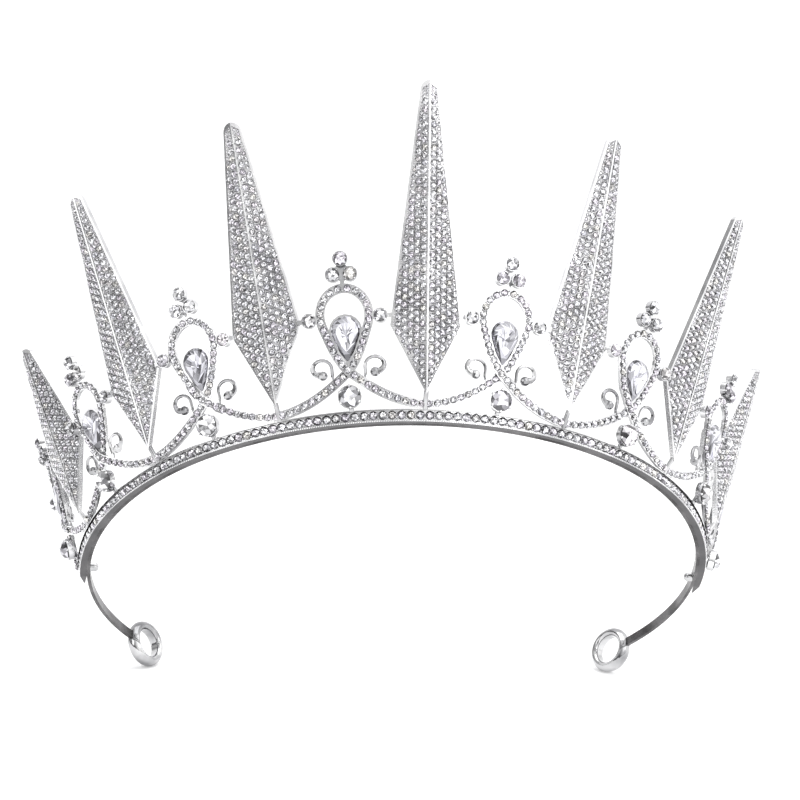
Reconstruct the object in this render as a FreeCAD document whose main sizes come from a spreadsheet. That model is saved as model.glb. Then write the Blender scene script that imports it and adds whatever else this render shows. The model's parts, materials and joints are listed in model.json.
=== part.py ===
import FreeCAD, Part
import math
import os

# Bridal tiara on a sprung C-shaped headband. The tiara is laid out in band coordinates: the band's
# lower edge lies in a flat plane, a station is the distance along the band from the front centre
# (positive to +X), and spires and ornaments lean outward from that plane. The finished tiara is then
# tilted to the pose in which it is worn, with the open arms low at the back.
# The origin is the centre of the front arc of the head opening. +Z is up and the front faces -Y.

V = FreeCAD.Vector
doc = FreeCAD.newDocument("BridalTiara")
sheet = doc.addObject("Spreadsheet::Sheet", "Dimensions")

DIMENSIONS = (
    # worn pose and plan of the headband
    ("wearing_tilt", 42.0), ("front_radius", 83.5), ("side_radius", 71.7), ("rear_radius", 62.5),
    ("front_half_arc", 50.0), ("side_arc", 60.0), ("ring_station", 162.0),
    ("strip_thickness", 0.9), ("strip_height", 2.2),
    # ring eyes at the ends of the arms
    ("ring_outer_radius", 6.2), ("ring_bore_radius", 3.8), ("ring_half_depth", 1.9), ("ring_land", 1.2),
    ("ring_bite", 0.05), ("ring_swell_across", 0.3), ("ring_swell_out", 0.75),
    # front band castings, which lean with the spires
    ("casting_end", 120.0), ("row_half_height", 1.5), ("casting_wall", 0.5), ("casting_foot", 0.7),
    ("casting_gap", 0.03), ("section_step", 3.0), ("ledge_reach", 0.9), ("ledge_height", 0.35),
    ("lip_reach", 0.7), ("lip_height", 0.25), ("tip_length", 4.0), ("tip_scale", 0.15),
    # small rhinestones
    ("row_pitch", 2.15), ("row_radius", 1.02), ("row_stone_height", 0.88),
    ("strand_pitch", 1.82), ("strand_radius", 0.83), ("table_share", 0.56), ("height_share", 0.64),
    ("pave_pitch", 1.8), ("pave_column", 1.36), ("pave_radius", 0.78), ("pave_margin", 1.0),
    ("pave_inset", 0.8), ("bead_radius", 0.36), ("bead_pitch", 0.79), ("bead_column", 0.76),
    ("bead_field", 2.0), ("bead_start", 0.5), ("bead_rows", 4.0),
    # element layout
    ("element_pitch", 16.5), ("front_lean", 27.5), ("end_lean", 17.0),
    ("seat_reach", 1.2), ("seat_rise", 1.5),
    # spires
    ("spire_foot", 4.7), ("spire_length_centre", 73.5), ("spire_length_inner", 68.0),
    ("spire_length_outer", 67.0), ("spire_length_end", 48.0), ("spire_half_width", 8.3),
    ("spire_widest_centre", 16.0), ("spire_widest_side", 18.0), ("spire_tip_half", 1.9),
    ("spire_thickness", 0.9), ("end_turn", 10.0), ("spire_fold", 2.6), ("spire_front", 2.2),
    ("rim_width", 0.42),
    ("rim_height", 0.3), ("ridge_half", 0.22), ("field_point", 0.5), ("cutter_margin", 2.0),
    ("cutter_depth", 8.0), ("post_radius", 0.6), ("post_bite", 0.7),
    # ornaments between the spires: loop, crossing and swag of each strand, as offsets of its curves
    ("loop_radius", 4.95), ("loop_rise", 6.45), ("loop_centre", 23.6), ("loop_sweep", 109.8),
    ("neck_start_in", 1.2), ("neck_start_drop", 4.0), ("neck_end_out", 2.4), ("neck_end_rise", 2.8),
    ("crossing_height", 10.6), ("crossing_gap", 0.05), ("crossing_reach", 5.0), ("crossing_clear", 1.36),
    ("swag_start_share", 0.22), ("swag_start_drop", 3.3), ("swag_end_share", 0.55), ("swag_end_lift", 0.5),
    ("swag_end_height", 2.55), ("swag_gap", 0.55), ("strand_width", 2.2), ("strand_depth", 0.8),
    # pear crystals and their settings
    ("pear_radius", 3.6), ("pear_centre", 20.1), ("pear_tip", 12.4), ("pear_depth", 2.6),
    ("pear_arc_end", 20.0), ("shoulder_in", 0.52), ("shoulder_down", 0.68), ("pear_table", 0.6),
    ("pear_crown", 0.4), ("pear_culet", 0.45), ("pear_proud", 0.5), ("bezel_scale", 1.07),
    ("bezel_back", 1.7), ("bezel_front", 0.3), ("tail_width", 1.2), ("tail_length", 2.6),
    ("tail_below", 1.82),
    # trefoils, links and round stones
    ("trefoil_radius", 1.78), ("trefoil_low", 33.2), ("trefoil_high", 36.9), ("trefoil_spread", 2.0),
    ("trefoil_proud", 1.5), ("link_radius", 1.75), ("link_height", 23.0), ("link_spread", 8.3),
    ("link_proud", 1.1), ("bridge_height", 1.0), ("bridge_inner", 5.4), ("bridge_outer", 11.2),
    ("round_radius", 2.75), ("round_height", 4.5), ("round_proud", 2.8), ("setting_wall", 0.22),
    ("setting_depth", 1.5), ("backing_radius", 2.0), ("backing_rise", 0.6), ("backing_thickness", 0.45),
    ("backing_tab", 2.8), ("backing_tab_width", 1.0),
    # scroll curls
    ("curl_root_x", 3.3), ("curl_root_z", 8.3), ("curl_radius", 2.3), ("curl_spread", 5.85),
    ("curl_height", 11.6), ("curl_sweep", 245.0), ("curl_tighten", 0.42), ("curl_depth", 0.9),
    ("curl_thickness", 0.8), ("curl_swell", 0.9), ("curl_ball", 1.15), ("end_curl_scale", 0.8),
    # fixings
    ("rivet_station", 117.0), ("rivet_radius", 1.15), ("rivet_length", 1.0),
    ("fillet_length", 3.0), ("fillet_rise", 0.3), ("fillet_top", 2.0),
)

for row, (alias, value) in enumerate(DIMENSIONS, start=1):
    sheet.set("A%d" % row, alias)
    sheet.set("B%d" % row, str(value))
    sheet.setAlias("B%d" % row, alias)
doc.recompute()
SIZE = {alias: float(sheet.get(alias)) for alias, value in DIMENSIONS}


def size(alias):
    return SIZE[alias]


# ---------------------------------------------------------------- band coordinates

def band_arcs():
    """Tangent arcs of one half of the band: (start station, radius, centre, start angle)."""
    arcs = []
    station = 0.0
    angle = 0.0
    centre = V(0, 0, 0)
    lengths = (size("front_half_arc"), size("side_arc"), math.inf)
    radii = (size("front_radius"), size("side_radius"), size("rear_radius"))
    previous = radii[0]
    for radius, length in zip(radii, lengths):
        shift = previous - radius
        centre = centre + V(math.sin(angle), -math.cos(angle), 0) * shift
        arcs.append((station, radius, centre, angle))
        station += length
        angle += length / radius
        previous = radius
    return arcs


ARCS = band_arcs()


def band_point(station, outward=0.0, height=0.0):
    """Point at a station, moved outward from the band's centre line and up."""
    side = 1.0 if station >= 0 else -1.0
    distance = abs(station)
    start, radius, centre, angle = [arc for arc in ARCS if arc[0] <= distance][-1]
    turn = angle + (distance - start) / radius
    reach = radius + outward
    return V(side * (centre.x + math.sin(turn) * reach), centre.y - math.cos(turn) * reach, height)


def band_axes(station):
    """Tangent towards +X at the front, and outward normal, at a station."""
    side = 1.0 if station >= 0 else -1.0
    distance = abs(station)
    start, radius, centre, angle = [arc for arc in ARCS if arc[0] <= distance][-1]
    turn = angle + (distance - start) / radius
    tangent = V(math.cos(turn), side * math.sin(turn), 0)
    outward = V(side * math.sin(turn), -math.cos(turn), 0)
    return tangent, outward


def lean_direction(station):
    """Direction in which spires and ornaments stand at a station."""
    share = (station / size("casting_end")) ** 2
    lean = math.radians(size("front_lean") + (size("end_lean") - size("front_lean")) * share)
    outward = band_axes(station)[1]
    return V(0, 0, 1) * math.cos(lean) + outward * math.sin(lean)


def skin_foot(station):
    """Where the leaning surface of spires and ornaments meets the row of band stones."""
    return band_point(station, size("seat_reach"), size("seat_rise"))


def skin_point(station, height, proud=0.0):
    """Point on the leaning surface: height along the lean, proud towards the front."""
    foot = skin_foot(station)
    lean = lean_direction(station)
    return foot + lean * height + skin_normal(station) * proud


def skin_normal(station):
    tangent = band_axes(station)[0]
    return tangent.cross(lean_direction(station))


def element_placement(station):
    """Local x along the band, local z along the lean, local -y towards the front."""
    tangent = band_axes(station)[0]
    lean = lean_direction(station)
    inward = skin_normal(station) * -1.0
    foot = skin_foot(station)
    matrix = FreeCAD.Matrix(tangent.x, inward.x, lean.x, foot.x, tangent.y, inward.y, lean.y, foot.y,
                            tangent.z, inward.z, lean.z, foot.z, 0, 0, 0, 1)
    return FreeCAD.Placement(matrix)


WORN = FreeCAD.Placement(V(0, 0, 0), FreeCAD.Rotation(V(1, 0, 0), -size("wearing_tilt")))


# ---------------------------------------------------------------- document helpers

SUBPARTS = []


def add_feature(label, shape, placement=WORN):
    """A sub-part whose shape is built with Part's own functions."""
    feature = doc.addObject("Part::Feature", label)
    feature.Shape = shape
    feature.Placement = placement
    feature.Label = label
    SUBPARTS.append(feature)
    return feature


def origin_plane(body, role):
    return [item for item in body.Origin.OriginFeatures if item.Role == role][0]


def new_body(label, placement):
    body = doc.addObject("PartDesign::Body", label)
    body.Label = label
    body.Placement = placement
    return body


def new_sketch(body, name, role, curves):
    sketch = body.newObject("Sketcher::SketchObject", name)
    sketch.AttachmentSupport = (origin_plane(body, role), [""])
    sketch.MapMode = "FlatFace"
    for curve in curves:
        sketch.addGeometry(curve, False)
    return sketch


def band_outline(first, last, inner, outer):
    """Closed plan outline of a stretch of the band between two offsets from its centre line."""
    breaks = [first, last, 0.0]
    for arc in ARCS[1:]:
        breaks += [arc[0], -arc[0]]
    stations = sorted(value for value in set(breaks) if first <= value <= last)
    curves = []
    for offset, order in ((outer, 1), (inner, -1)):
        for begin, end in list(zip(stations[:-1], stations[1:]))[::order]:
            ends = (begin, end)[::order]
            curves.append(Part.Arc(band_point(ends[0], offset), band_point((begin + end) / 2, offset),
                                   band_point(ends[1], offset)))
        corner = last if order == 1 else first
        reach = (outer, inner)[::order]
        curves.append(Part.LineSegment(band_point(corner, reach[0]), band_point(corner, reach[1])))
    return curves


def band_prism(first, last, inner, outer, low, high):
    wire = Part.Wire([curve.toShape() for curve in band_outline(first, last, inner, outer)])
    prism = Part.Face(wire).extrude(V(0, 0, high - low))
    prism.translate(V(0, 0, low))
    return prism


def local_frame(point, axis):
    """Placement that takes +Z to an axis at a point."""
    return FreeCAD.Placement(point, FreeCAD.Rotation(V(0, 0, 1), axis))


def round_stone(point, axis, radius, height=None):
    """A round stone as a cone frustum that stands on its seat."""
    rise = height or radius * size("height_share")
    stone = Part.makeCone(radius, radius * size("table_share"), rise)
    stone.Placement = local_frame(point, axis)
    return stone


def round_setting(point, axis, radius):
    """A solid round cup under a stone; the stone stands on its rim."""
    cup = Part.makeCylinder(radius + size("setting_wall"), size("setting_depth"))
    cup.Placement = local_frame(point - axis * size("setting_depth"), axis)
    return cup


def loft_sections(sections):
    """Ruled solid through closed sections, each given by its corners."""
    return Part.makeLoft([Part.makePolygon(corners + corners[:1]) for corners in sections], True, True)


def ribbon(points, acrosses, fronts, width_at, depth):
    """Ruled solid along points: rectangles spread across, from the surface towards the front.

    width_at gives the width at a share of the way along.
    """
    sections = []
    last = len(points) - 1
    for index, (point, across, front) in enumerate(zip(points, acrosses, fronts)):
        half = across * (width_at(index / last) / 2)
        rise = front * depth
        sections.append([point - half, point + half, point + half + rise, point - half + rise])
    return loft_sections(sections)


# ---------------------------------------------------------------- headband, rings, rivets

def build_headband():
    body = new_body("headband_strip", WORN)
    thickness = size("strip_thickness")
    end = size("ring_station") - size("ring_outer_radius") + size("ring_bite")
    sketch = new_sketch(body, "StripPlan", "XY_Plane", band_outline(-end, end, -thickness, 0.0))
    pad = body.newObject("PartDesign::Pad", "StripPad")
    pad.Profile = sketch
    pad.setExpression("Length", "Dimensions.strip_height")
    SUBPARTS.append(body)


def build_ring_eye(label, station):
    """Rounded ring in the plane of the strip, with a short straight land in its bore."""
    tangent, outward = band_axes(station)
    centre = band_point(station, -size("strip_thickness") / 2, size("strip_height") / 2)
    body = new_body(label, WORN.multiply(local_frame(centre, outward)))
    bore = size("ring_bore_radius")
    outer = size("ring_outer_radius")
    depth = size("ring_half_depth")
    land = size("ring_land") / 2
    middle = (bore + outer) / 2
    near = V(bore + (middle - bore) * size("ring_swell_across"),
             land + (depth - land) * size("ring_swell_out"), 0)
    curves = [
        Part.LineSegment(V(bore, -land, 0), V(bore, land, 0)),
        Part.Arc(V(bore, land, 0), near, V(middle, depth, 0)),
        Part.Arc(V(middle, depth, 0), V(outer, 0, 0), V(middle, -depth, 0)),
        Part.Arc(V(middle, -depth, 0), V(near.x, -near.y, 0), V(bore, -land, 0)),
    ]
    sketch = new_sketch(body, label + "_section", "XZ_Plane", curves)
    turn = body.newObject("PartDesign::Revolution", label + "_turn")
    turn.Profile = sketch
    turn.ReferenceAxis = (sketch, ["V_Axis"])
    turn.Angle = 360
    SUBPARTS.append(body)


def end_rivet(label, station):
    """Domed rivet on the inner face of the strip behind the end of the front casting."""
    tangent, outward = band_axes(station)
    inner = band_point(station, -size("strip_thickness"), size("strip_height") / 2)
    place = WORN.multiply(local_frame(inner, outward * -1.0))
    shank = doc.addObject("Part::Cylinder", label + "_shank")
    shank.setExpression("Radius", "Dimensions.rivet_radius")
    shank.setExpression("Height", "Dimensions.rivet_length")
    dome = doc.addObject("Part::Sphere", label + "_dome")
    dome.setExpression("Radius", "Dimensions.rivet_radius")
    dome.setExpression("Placement.Base.z", "Dimensions.rivet_length")
    dome.Angle1 = 0
    fuse = doc.addObject("Part::Fuse", label)
    fuse.Base = shank
    fuse.Tool = dome
    fuse.Placement = place
    return fuse


def add_group(label, members):
    """Identical small pieces that share one node as separate solids."""
    group = doc.addObject("Part::Compound", label)
    group.Links = members
    group.Label = label
    SUBPARTS.append(group)


# ---------------------------------------------------------------- front band

def casting_section(station, scale=1.0):
    """Section of a front casting: a leaning wall with a ledge, a lip and a foot on the strip."""
    half = size("row_half_height")
    wall = size("casting_wall")
    foot = size("casting_foot")
    seat_low = size("ledge_height") - half
    seat_high = half - size("lip_height")
    inside = skin_point(station, seat_low)
    corners = [band_point(station), skin_point(station, -half, size("ledge_reach")),
               skin_point(station, seat_low, size("ledge_reach")), inside,
               skin_point(station, seat_high), skin_point(station, seat_high, size("lip_reach")),
               skin_point(station, half, size("lip_reach")), skin_point(station, half, -wall),
               skin_point(station, foot - half, -wall), band_point(station, 0.0, foot)]
    return [inside + (corner - inside) * scale for corner in corners]


def even_stations(first, last, step):
    count = max(1, round((last - first) / step))
    return [first + (last - first) * index / count for index in range(count + 1)]


def build_front_castings():
    """Four castings in a row, with a pointed tip at each outer end and a row of stones."""
    end = size("casting_end")
    joint = 4 * size("element_pitch")
    limits = [-end, -joint, 0.0, joint, end]
    seat_height = (size("ledge_height") - size("lip_height")) / 2
    for number, (first, last) in enumerate(zip(limits[:-1], limits[1:]), start=1):
        begin = first + size("casting_gap")
        stop = last - size("casting_gap")
        sections = [casting_section(station) for station in even_stations(begin, stop, size("section_step"))]
        if number == 1:
            sections.insert(0, casting_section(first - size("tip_length"), size("tip_scale")))
        if number == 4:
            sections.append(casting_section(last + size("tip_length"), size("tip_scale")))
        add_feature("front_casting_%d" % number, loft_sections(sections))
        edges = even_stations(begin, stop, size("row_pitch"))
        stones = []
        for before, after in zip(edges[:-1], edges[1:]):
            station = (before + after) / 2
            stones.append(round_stone(skin_point(station, seat_height), skin_normal(station),
                                      size("row_radius"), size("row_stone_height")))
        add_feature("front_stones_%d" % number, Part.makeCompound(stones))


def fillet_section(station):
    """Wedge of solder between the strip's face and the back of the leaning casting."""
    wall = size("casting_wall")
    foot = size("casting_foot")
    return [band_point(station, 0.0, foot), skin_point(station, foot - size("row_half_height"), -wall),
            skin_point(station, size("fillet_rise"), -wall), band_point(station, 0.0, size("fillet_top"))]


def build_solder_fillets():
    """Solder that holds the castings to the strip, one lump behind the foot of each spire."""
    half = size("fillet_length") / 2
    lumps = []
    for place in range(-3, 4):
        station = place * 2 * size("element_pitch")
        sections = [fillet_section(station + shift) for shift in (-half, 0.0, half)]
        lumps.append(loft_sections(sections))
    add_feature("solder_fillets", Part.makeCompound(lumps))


# ---------------------------------------------------------------- spires

def kite_half_width(height, length, widest):
    """Half-width of a spire at a height above its lower tip."""
    half = size("spire_half_width")
    if height <= widest:
        return half * height / widest
    return half + (size("spire_tip_half") - half) * (height - widest) / (length - widest)


def fold_slope():
    return size("spire_fold") / size("spire_half_width")


def chevron(front, thickness, top):
    """V-shaped plate: its front ridge stands at -front, and its folds run back on both sides."""
    reach = size("spire_half_width") + size("cutter_margin")
    back = reach * fold_slope()
    corners = [V(-reach, back - front, 0), V(0, -front, 0), V(reach, back - front, 0),
               V(reach, back - front + thickness, 0), V(0, thickness - front, 0),
               V(-reach, back - front + thickness, 0)]
    face = Part.Face(Part.makePolygon(corners + corners[:1]))
    return face.extrude(V(0, 0, top))


def prism_through(edges):
    """Prism right through a spire from outline edges that lie in its local x and z."""
    depth = size("cutter_depth")
    face = Part.Face(Part.Wire(edges))
    face.translate(V(0, -depth, 0))
    return face.extrude(V(0, 2 * depth, 0))


def outline_edges(corners):
    closed = corners + corners[:1]
    return [Part.LineSegment(begin, end).toShape() for begin, end in zip(closed[:-1], closed[1:])]


def spire_shape(length, widest):
    """Folded kite with a round tip; its pave fields are sunk between a ridge line and a rim."""
    foot = size("spire_foot")
    half = size("spire_half_width")
    rim = size("rim_width")
    ridge = size("ridge_half")
    margin = size("cutter_margin")
    shoulder = length - size("spire_tip_half")
    cap = kite_half_width(shoulder, length, widest)

    def at(x, height):
        return V(x, 0, height + foot)

    open_side = [at(cap, shoulder), at(half, widest), at(0, 0), at(-half, widest), at(-cap, shoulder)]
    edges = [Part.LineSegment(begin, end).toShape() for begin, end in zip(open_side[:-1], open_side[1:])]
    edges.append(Part.Arc(at(-cap, shoulder), at(0, length), at(cap, shoulder)).toShape())
    front = size("spire_front") + size("rim_height")
    top = length + foot + margin
    plate = chevron(front, size("spire_thickness") + size("rim_height"), top).common(prism_through(edges))
    start = (ridge + rim) * widest / half
    layer = chevron(front + margin, size("rim_height") + margin, top)
    for side in (-1, 1):
        field = [at(side * ridge, start), at(side * (half - rim), widest),
                 at(side * (cap - rim), shoulder), at(side * ridge, shoulder + size("field_point") * cap)]
        plate = plate.cut(layer.common(prism_through(outline_edges(field))))
    return plate


def field_stones(length, widest):
    """Staggered columns of stones on both folds of a spire, with small beads in its tip."""
    slope = fold_slope()
    margin = size("pave_margin")
    top = length - size("spire_tip_half") - size("bead_field")
    stones = []
    for side in (-1, 1):
        axis = V(side * slope, -1, 0).normalize()

        def add(across, height, radius):
            seat = V(side * across, across * slope - size("spire_front"), height + size("spire_foot"))
            stones.append(round_stone(seat, axis, radius))

        column = 0
        across = size("ridge_half") + size("pave_inset")
        while across < size("spire_half_width") - margin:
            height = (column % 2) * size("pave_pitch") / 2
            while height < top:
                if kite_half_width(height, length, widest) >= across + margin:
                    add(across, height, size("pave_radius"))
                height += size("pave_pitch")
            column += 1
            across += size("pave_column")
        rows = int(size("bead_rows"))
        for column in (0, 1):
            across = size("ridge_half") + size("bead_pitch") / 2 + column * size("bead_column")
            for step in range(rows - column):
                height = top + size("bead_start") + (step + column / 2) * size("bead_pitch")
                add(across, height, size("bead_radius"))
    return stones


def rod_between(name, begin, end):
    """Soldered rod from one point to another, both in band coordinates."""
    rod = doc.addObject("Part::Cylinder", name)
    rod.setExpression("Radius", "Dimensions.post_radius")
    rod.Height = (end - begin).Length
    rod.Placement = WORN.multiply(local_frame(begin, end - begin))
    return rod


def lip_point(station):
    """Middle of the upper lip of the front casting."""
    return skin_point(station, size("row_half_height") - size("lip_height") / 2, size("lip_reach") / 2)


def build_spires():
    """Seven spires with their stones and rods; the outermost two are turned a little to the front."""
    lengths = {0: "centre", 1: "inner", 2: "outer", 3: "end"}
    rods = []
    for place in range(-3, 4):
        number = place + 4
        length = size("spire_length_" + lengths[abs(place)])
        widest = size("spire_widest_side" if place else "spire_widest_centre")
        station = place * 2 * size("element_pitch")
        where = WORN.multiply(element_placement(station))
        if abs(place) == 3:
            turn = FreeCAD.Rotation(V(0, 0, 1), -math.copysign(size("end_turn"), place))
            where = where.multiply(FreeCAD.Placement(V(0, 0, 0), turn))
        add_feature("spire_%d" % number, spire_shape(length, widest), where)
        add_feature("spire_stones_%d" % number, Part.makeCompound(field_stones(length, widest)), where)
        middle = size("spire_front") - size("spire_thickness") / 2
        heel = skin_point(station, size("spire_foot") + size("post_bite"), middle)
        rods.append(rod_between("spire_rod_%d" % number, lip_point(station), heel))
    for number in range(1, 9):
        station = (2 * number - 9) * size("element_pitch")
        back = size("round_proud") - size("setting_depth")
        heel = skin_point(station, size("round_height"), back)
        rods.append(rod_between("round_rod_%d" % number, lip_point(station), heel))
    add_group("solder_posts", rods)


# ---------------------------------------------------------------- ornaments

def bezier(points, share):
    rest = 1.0 - share
    weights = (rest ** 3, 3 * rest * rest * share, 3 * rest * share * share, share ** 3)
    return (sum(w * p[0] for w, p in zip(weights, points)), sum(w * p[1] for w, p in zip(weights, points)))


def strand_path(side, reach):
    """One side of a teardrop loop from its top, round, through the crossing and along the swag.

    Points are (distance along the band, height), for the strand that starts on one side and ends
    on the other; reach is the distance of the swag's end from the ornament's middle.
    """
    loop_steps, neck_steps, swag_steps = 9, 6, 9
    path = []
    for step in range(loop_steps + 1):
        angle = math.radians(90 - size("loop_sweep") * step / loop_steps)
        path.append((size("loop_radius") * math.cos(angle),
                     size("loop_centre") + size("loop_rise") * math.sin(angle)))
    low = path[-1]
    crossing = (0.0, size("crossing_height"))
    neck = (low, (low[0] - size("neck_start_in"), low[1] - size("neck_start_drop")),
            (size("neck_end_out"), crossing[1] + size("neck_end_rise")), crossing)
    path += [bezier(neck, step / neck_steps) for step in range(1, neck_steps + 1)]
    swag_end = size("swag_end_height")
    swag = (crossing, (-size("swag_start_share") * reach, crossing[1] - size("swag_start_drop")),
            (-size("swag_end_share") * reach, swag_end + size("swag_end_lift")), (-reach, swag_end))
    path += [bezier(swag, step / swag_steps) for step in range(1, swag_steps + 1)]
    return [(side * x, z) for x, z in path]


def crossing_rise(x, z, over):
    """How far the upper strand stands proud where the two strands cross."""
    if not over:
        return 0.0
    share = min(1.0, math.hypot(x, z - size("crossing_height")) / size("crossing_reach"))
    return (size("strand_depth") + size("crossing_gap")) * math.sqrt(max(0.0, math.cos(share * math.pi / 2)))


def strand_frames(station, path, over):
    """Points on the leaning surface with their across and front directions."""
    points, acrosses, fronts = [], [], []
    for index, (x, z) in enumerate(path):
        before = path[max(index - 1, 0)]
        after = path[min(index + 1, len(path) - 1)]
        if index == 0:
            before = (-after[0], after[1])
        front = skin_normal(station + x)
        along = skin_point(station + after[0], after[1]) - skin_point(station + before[0], before[1])
        across = front.cross(along).normalize()
        points.append(skin_point(station + x, z, crossing_rise(x, z, over)))
        acrosses.append(across)
        fronts.append(front)
    return points, acrosses, fronts


def stones_along(station, path, over):
    """Stones at an even pitch along a strand."""
    fine_steps = 20
    dense = []
    for (x0, z0), (x1, z1) in zip(path[:-1], path[1:]):
        for step in range(fine_steps):
            share = step / fine_steps
            dense.append((x0 + (x1 - x0) * share, z0 + (z1 - z0) * share))
    travelled = 0.0
    wanted = size("strand_pitch") / 2
    stones = []
    for (x0, z0), (x1, z1) in zip(dense[:-1], dense[1:]):
        travelled += math.hypot(x1 - x0, z1 - z0)
        near_crossing = math.hypot(x1, z1 - size("crossing_height")) < size("crossing_clear")
        if travelled >= wanted:
            wanted += size("strand_pitch")
            if near_crossing and not over:
                continue
            proud = crossing_rise(x1, z1, over) + size("strand_depth")
            stones.append(round_stone(skin_point(station + x1, z1, proud), skin_normal(station + x1),
                                      size("strand_radius")))
    return stones


def pear_outline():
    """Pear about its round centre: most of a circle, then two shoulders down to the point."""
    radius = size("pear_radius")
    length = size("pear_centre") - size("pear_tip")
    below = size("pear_arc_end")
    arc_steps = 10
    outline = []
    for step in range(arc_steps + 1):
        angle = math.radians((180 + 2 * below) * step / arc_steps - below)
        outline.append((radius * math.cos(angle), radius * math.sin(angle)))
    shoulder = outline[0][0] * size("shoulder_in")
    level = -length * size("shoulder_down")
    return outline + [(-shoulder, level), (0.0, -length), (shoulder, level)]


def pear_section(scale, depth):
    return [V(x * scale, depth, z * scale) for x, z in pear_outline()]


def pear_shape():
    """Faceted pear: girdle, table and back outlines joined by flat facets."""
    rise = size("pear_depth") * size("pear_crown")
    crown = loft_sections([pear_section(1.0, 0), pear_section(size("pear_table"), -rise)])
    pavilion = loft_sections([pear_section(size("pear_culet"), size("pear_depth") - rise),
                              pear_section(1.0, 0)])
    return crown.fuse(pavilion)


def pear_setting():
    """Cup that follows the pear, with a tail that is soldered behind the crossing."""
    scale = size("bezel_scale")
    cup = loft_sections([pear_section(scale, size("bezel_back")), pear_section(scale, -size("bezel_front"))])
    tip = size("pear_tip") - size("pear_centre")
    tail = Part.makeBox(size("tail_width"), size("backing_thickness"), size("tail_length"),
                        V(-size("tail_width") / 2, size("pear_proud"), tip - size("tail_below")))
    return cup.fuse(tail).cut(pear_shape())


def curl_path(side):
    """Scroll that leaves the swag, rises and curls outward round its centre."""
    radius = size("curl_radius")
    centre_x = size("curl_spread")
    centre_z = size("curl_height")
    path = [(size("curl_root_x"), size("curl_root_z")),
            (centre_x - radius, (size("curl_root_z") + centre_z) / 2)]
    steps = 14
    for step in range(steps + 1):
        share = step / steps
        angle = math.radians(180 - size("curl_sweep") * share)
        reach = radius * (1.0 - size("curl_tighten") * share ** 2)
        path.append((centre_x + reach * math.cos(angle), centre_z + reach * math.sin(angle)))
    return [(side * x, z) for x, z in path]


def curl_width(share):
    """Face width of a scroll: thin at its root, swelling towards its outer turn."""
    return size("curl_thickness") + size("curl_swell") * share ** 3


def strand_width(share):
    """Face width of a strand, the same all the way."""
    return size("strand_width")


def oval_section(centre, across, front, half_width, half_depth):
    """Ten-sided oval that stands across a scroll."""
    corners = []
    sides = 10
    for step in range(sides):
        angle = 2 * math.pi * (step + 0.5) / sides
        out = across * (half_width * math.cos(angle)) + front * (half_depth * math.sin(angle))
        corners.append(centre + out)
    return corners


def build_curl(station, path):
    """Scroll of oval section that ends in a ball."""
    points, acrosses, fronts = strand_frames(station, path, False)
    half_depth = size("curl_depth") / 2
    last = len(points) - 1
    sections = []
    for index, (point, across, front) in enumerate(zip(points, acrosses, fronts)):
        sections.append(oval_section(point + front * half_depth, across, front, curl_width(index / last) / 2,
                                     half_depth))
    ball = size("curl_ball")
    along = acrosses[-1].cross(fronts[-1])
    if along.dot(points[-1] - points[-2]) < 0:
        along = along * -1.0
    end = points[-1] + fronts[-1] * half_depth
    first_turn, last_turn, turn_steps = -35.0, 80.0, 5
    middle = end - along * (ball * math.sin(math.radians(first_turn - last_turn / turn_steps)))
    for step in range(turn_steps + 1):
        turn = math.radians(first_turn + (last_turn - first_turn) * step / turn_steps)
        centre = middle + along * (ball * math.sin(turn))
        girth = ball * math.cos(turn)
        sections.append(oval_section(centre, acrosses[-1], fronts[-1], girth, girth))
    return loft_sections(sections)


def link_bridge(local, side, outer):
    """Bar behind the loop that carries a link stone and, where there is one, meets the next spire."""
    inner = size("bridge_inner")
    low = side * inner if side > 0 else side * outer
    bar = Part.makeBox(outer - inner, size("backing_thickness"), size("bridge_height"),
                       V(low, 0, size("link_height") - size("bridge_height") / 2))
    return bar.transformGeometry(local.toMatrix())


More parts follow.
